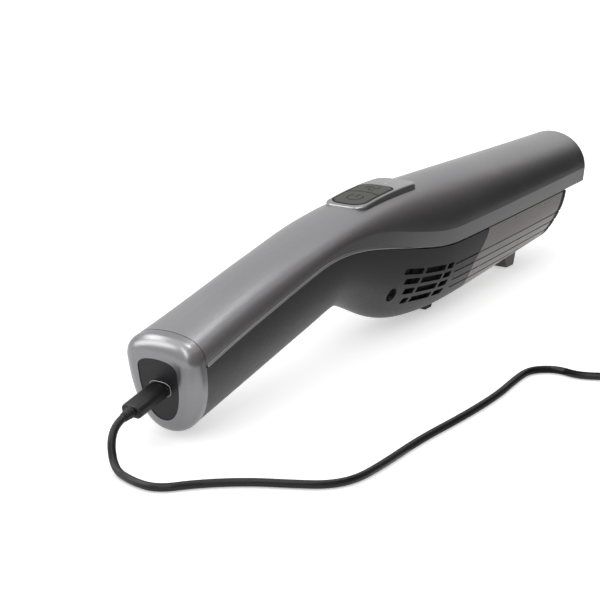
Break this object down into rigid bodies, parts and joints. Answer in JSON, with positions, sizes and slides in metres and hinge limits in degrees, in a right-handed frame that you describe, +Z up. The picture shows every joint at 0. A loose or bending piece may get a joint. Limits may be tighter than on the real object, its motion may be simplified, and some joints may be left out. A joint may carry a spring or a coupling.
{
  "type": "handheld vacuum",
  "caption": "Slim cordless handheld vacuum with a pull-off dust cup, pleated filter, fan motor, side exhaust vents, top control keys and a plugged-in charging lead",
  "frame": {"origin": "middle of the vacuum's own box, on the table it stands on", "axes": "+X forward to the nozzle, +Y left, +Z up"},
  "size_m": [0.4946, 0.2209, 0.0848],
  "materials": {
    "shell_grey": "satin metallic grey paint on moulded plastic",
    "housing_dark": "fine matte dark grey",
    "cap_silver": "satin silver grey",
    "panel_black": "matte charcoal",
    "cup_smoke": "smoky taupe, slightly translucent",
    "nozzle_dark": "dark moulded plastic",
    "pad_silver": "satin metallic grey paint",
    "key_rubber": "soft dark grey-green rubber",
    "lens_clear": "clear light pipe",
    "board_green": "solder mask",
    "switch_black": "moulded switch bodies",
    "steel": "bare steel",
    "bright_steel": "bright plated shell",
    "cell_wrap": "wrapped battery cell",
    "copper_core": "laminations and windings",
    "inner_plastic": "unpainted inner moulding",
    "black_rubber": "soft black rubber",
    "filter_white": "pleated filter paper",
    "foam_black": "open foam",
    "cord_black": "smooth black cable jacket"
  },
  "bodies": {
    "body": {"upper_shell": "shell_grey", "lower_shell": "housing_dark", "end_cap": "cap_silver", "port_panel": "panel_black", "usb_socket": "bright_steel", "charge_board": "board_green", "battery_cells": "cell_wrap", "battery_cradle": "inner_plastic", "battery_strips": "steel", "control_pad": "pad_silver", "status_lens": "lens_clear", "control_board": "board_green", "tact_switches": "switch_black", "motor_can": "steel", "motor_bearings": "steel", "motor_stator": "copper_core", "fan_shroud": "inner_plastic", "motor_bracket": "inner_plastic", "motor_boot": "black_rubber", "motor_carrier": "inner_plastic", "housing_screws": "steel", "exhaust_foam": "foam_black", "inlet_bulkhead": "inner_plastic", "cup_seal": "black_rubber", "rear_foot": "black_rubber", "plug_shell": "bright_steel", "plug_body": "cord_black", "plug_relief": "cord_black", "charging_cord": "cord_black", "cord_coil": "cord_black", "cord_tie": "cord_black", "supply_relief": "cord_black", "supply_body": "cord_black", "supply_shell": "bright_steel"},
    "rotor": {"motor_shaft": "steel", "motor_rotor": "steel", "impeller": "inner_plastic"},
    "power_key": {"power_key": "key_rubber"},
    "mode_key": {"mode_key": "key_rubber"},
    "cup": {"dust_cup": "cup_smoke", "nozzle_insert": "nozzle_dark", "flap_pin": "steel", "front_foot": "nozzle_dark"},
    "flap": {"inlet_flap": "black_rubber"},
    "filter": {"filter_frame": "inner_plastic", "filter_pleats": "filter_white", "filter_screen": "steel"}
  },
  "joints": [
    {"name": "power_press", "type": "slide", "parent": "body", "child": "power_key", "axis": [0, 0, -1], "range_m": [0, 0.001], "stiffness_N_per_m": 1500},
    {"name": "mode_press", "type": "slide", "parent": "body", "child": "mode_key", "axis": [0, 0, -1], "range_m": [0, 0.001], "stiffness_N_per_m": 1500},
    {"name": "fan_spin", "type": "hinge", "parent": "body", "child": "rotor", "pos_m": [0.00777, 0, 0.04], "axis": [1, 0, 0], "continuous": true},
    {"name": "cup_slide", "type": "slide", "parent": "body", "child": "cup", "axis": [1, 0, 0], "range_m": [0, 0.17]},
    {"name": "flap_swing", "type": "hinge", "parent": "cup", "child": "flap", "pos_m": [0.15012, 0, 0.054], "axis": [0, 1, 0], "range_deg": [0, 65], "stiffness_Nm_per_rad": 0.002},
    {"name": "filter_slide", "type": "slide", "parent": "body", "child": "filter", "axis": [1, 0, 0], "range_m": [0, 0.018]}
  ]
}
